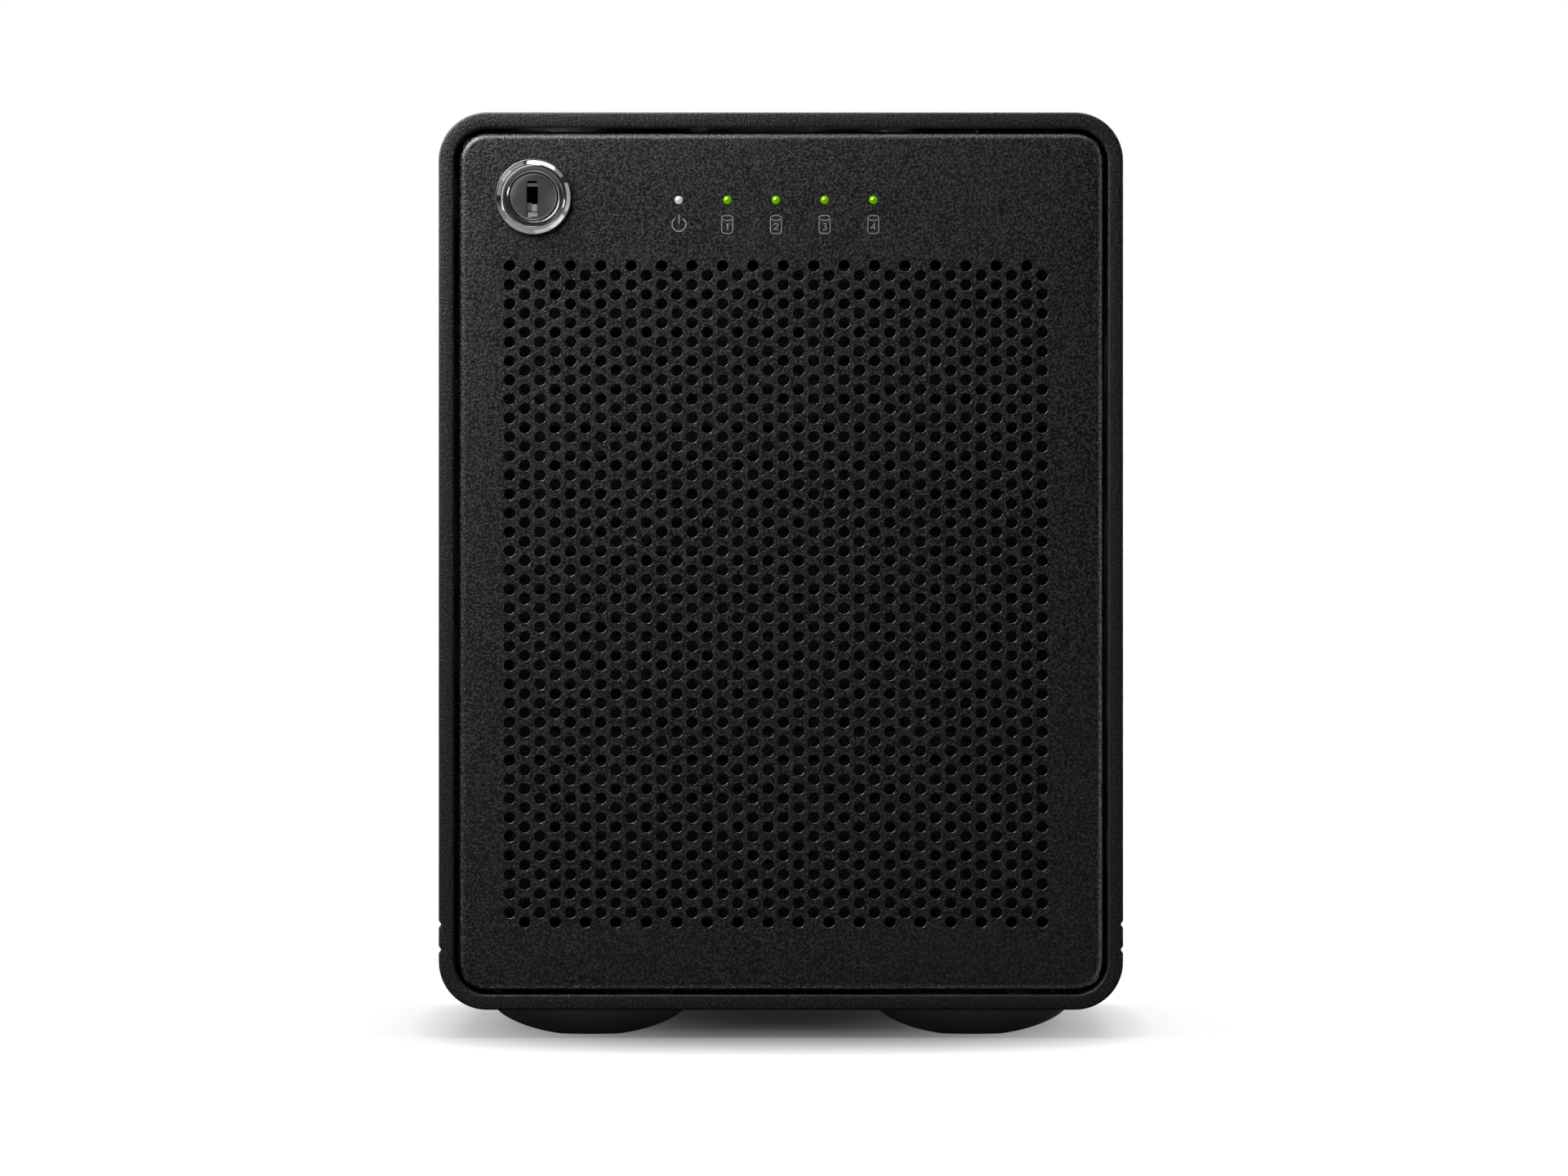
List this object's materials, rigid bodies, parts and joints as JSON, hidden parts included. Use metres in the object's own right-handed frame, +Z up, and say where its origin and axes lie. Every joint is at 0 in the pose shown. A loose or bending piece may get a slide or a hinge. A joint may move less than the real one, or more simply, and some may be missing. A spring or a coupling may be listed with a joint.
{
  "type": "nas enclosure",
  "caption": "Desktop network storage enclosure: black extruded case, perforated lockable lift-off door, drive trays, rear fan and ports, round rubber feet.",
  "frame": {"origin": "on the ground under the middle of the enclosure: bottom centre of the bounding box, at the feet's tread", "axes": "+X to the right seen from the front, +Y to the rear (the front with the door faces -Y), +Z up"},
  "size_m": [0.135, 0.245, 0.1825],
  "materials": {
    "case_paint": "black textured powder coat",
    "door_paint": "black textured powder coat",
    "foot_rubber": "moulded",
    "chrome": "polished",
    "plug_metal": "satin",
    "steel_screw": "zinc plated",
    "black_screw": "black zinc",
    "zinc_sheet": "galvanised",
    "frame_steel": "black e-coat",
    "panel_steel": "black powder coat",
    "tray_steel": "black powder coat",
    "guide_plastic": "moulded",
    "black_plastic": "moulded",
    "stud_plastic": "moulded",
    "clear_pipe_white": "clear, lit white",
    "clear_pipe_green": "clear, lit green",
    "circuit_board": "solder mask",
    "socket_black": "moulded",
    "chip_black": "moulded",
    "fin_aluminium": "anodised",
    "port_steel": "nickel plated",
    "pin_brass": "nickel over brass",
    "drive_cast": "cast",
    "lead_black": "sheathed",
    "ribbon": "flat flex",
    "switch_black": "moulded"
  },
  "bodies": {
    "chassis": {"outer_case": "case_paint", "rubber_feet": "foot_rubber", "foot_screws": "black_screw", "door_catch_grommets": "foot_rubber", "front_frame": "frame_steel", "led_board": "circuit_board", "power_light_pipe": "clear_pipe_white", "drive_light_pipes": "clear_pipe_green", "led_cable": "ribbon", "left_bay_wall": "zinc_sheet", "right_bay_wall": "zinc_sheet", "bay_base": "zinc_sheet", "board_shelf": "zinc_sheet", "tray_guides": "guide_plastic", "threaded_inserts": "steel_screw", "backplane_board": "circuit_board", "sata_sockets": "socket_black", "main_board": "circuit_board", "chassis_screws": "steel_screw", "cpu_heatsink": "fin_aluminium", "soldered_parts": "chip_black", "memory_module": "circuit_board", "ethernet_jacks": "port_steel", "usb_sockets": "port_steel", "rear_panel": "panel_steel", "rear_screws": "black_screw", "fan_frame": "black_plastic", "mains_inlet": "switch_black", "inlet_pins": "pin_brass", "switch_housing": "switch_black", "power_supply_case": "zinc_sheet", "power_supply_board": "circuit_board", "fan_cable": "lead_black", "mains_lead": "lead_black", "drive_power_harness": "lead_black"},
    "front_door": {"front_door_panel": "door_paint", "door_snap_studs": "stud_plastic", "lock_barrel": "chrome", "lock_nut": "steel_screw"},
    "door_lock": {"lock_plug": "plug_metal", "lock_cam": "zinc_sheet", "lock_cam_screw": "steel_screw"},
    "fan": {"fan_rotor": "black_plastic"},
    "power_rocker": {"switch_rocker": "switch_black"},
    "tray_1": {"drive_tray_1": "tray_steel", "hard_drive_1": "drive_cast", "drive_screws_1": "steel_screw"},
    "thumbscrew_1": {"tray_thumbscrew_1": "black_screw"},
    "tray_2": {"drive_tray_2": "tray_steel", "hard_drive_2": "drive_cast", "drive_screws_2": "steel_screw"},
    "thumbscrew_2": {"tray_thumbscrew_2": "black_screw"},
    "tray_3": {"drive_tray_3": "tray_steel", "hard_drive_3": "drive_cast", "drive_screws_3": "steel_screw"},
    "thumbscrew_3": {"tray_thumbscrew_3": "black_screw"},
    "tray_4": {"drive_tray_4": "tray_steel", "hard_drive_4": "drive_cast", "drive_screws_4": "steel_screw"},
    "thumbscrew_4": {"tray_thumbscrew_4": "black_screw"}
  },
  "joints": [
    {"name": "door_lift_off", "type": "slide", "parent": "chassis", "child": "front_door", "axis": [0, -1, 0], "range_m": [0, 0.3]},
    {"name": "key_turn", "type": "hinge", "parent": "front_door", "child": "door_lock", "pos_m": [-0.0488, -0.12, 0.1658], "axis": [0, -1, 0], "range_deg": [0, 90]},
    {"name": "tray_1_slide", "type": "slide", "parent": "chassis", "child": "tray_1", "axis": [0, -1, 0], "range_m": [0, 0.165]},
    {"name": "thumbscrew_1_turn", "type": "hinge", "parent": "tray_1", "child": "thumbscrew_1", "pos_m": [0.0576, -0.11, 0.13635], "axis": [0, -1, 0], "range_deg": [0, 1080]},
    {"name": "tray_2_slide", "type": "slide", "parent": "chassis", "child": "tray_2", "axis": [0, -1, 0], "range_m": [0, 0.165]},
    {"name": "thumbscrew_2_turn", "type": "hinge", "parent": "tray_2", "child": "thumbscrew_2", "pos_m": [0.0576, -0.11, 0.10385], "axis": [0, -1, 0], "range_deg": [0, 1080]},
    {"name": "tray_3_slide", "type": "slide", "parent": "chassis", "child": "tray_3", "axis": [0, -1, 0], "range_m": [0, 0.165]},
    {"name": "thumbscrew_3_turn", "type": "hinge", "parent": "tray_3", "child": "thumbscrew_3", "pos_m": [0.0576, -0.11, 0.07135], "axis": [0, -1, 0], "range_deg": [0, 1080]},
    {"name": "tray_4_slide", "type": "slide", "parent": "chassis", "child": "tray_4", "axis": [0, -1, 0], "range_m": [0, 0.165]},
    {"name": "thumbscrew_4_turn", "type": "hinge", "parent": "tray_4", "child": "thumbscrew_4", "pos_m": [0.0576, -0.11, 0.03885], "axis": [0, -1, 0], "range_deg": [0, 1080]},
    {"name": "fan_spin", "type": "hinge", "parent": "chassis", "child": "fan", "pos_m": [0, 0.105, 0.105], "axis": [0, 1, 0], "continuous": true},
    {"name": "rocker_press", "type": "hinge", "parent": "chassis", "child": "power_rocker", "pos_m": [0.041, 0.11446, 0.045], "axis": [0, 0, 1], "range_deg": [0, 20]}
  ],
  "couplings": [
    {"joint": "tray_1_slide", "follows": "door_lift_off", "ratio": 0.55},
    {"joint": "tray_2_slide", "follows": "door_lift_off", "ratio": 0.55},
    {"joint": "tray_3_slide", "follows": "door_lift_off", "ratio": 0.55},
    {"joint": "tray_4_slide", "follows": "door_lift_off", "ratio": 0.55}
  ]
}
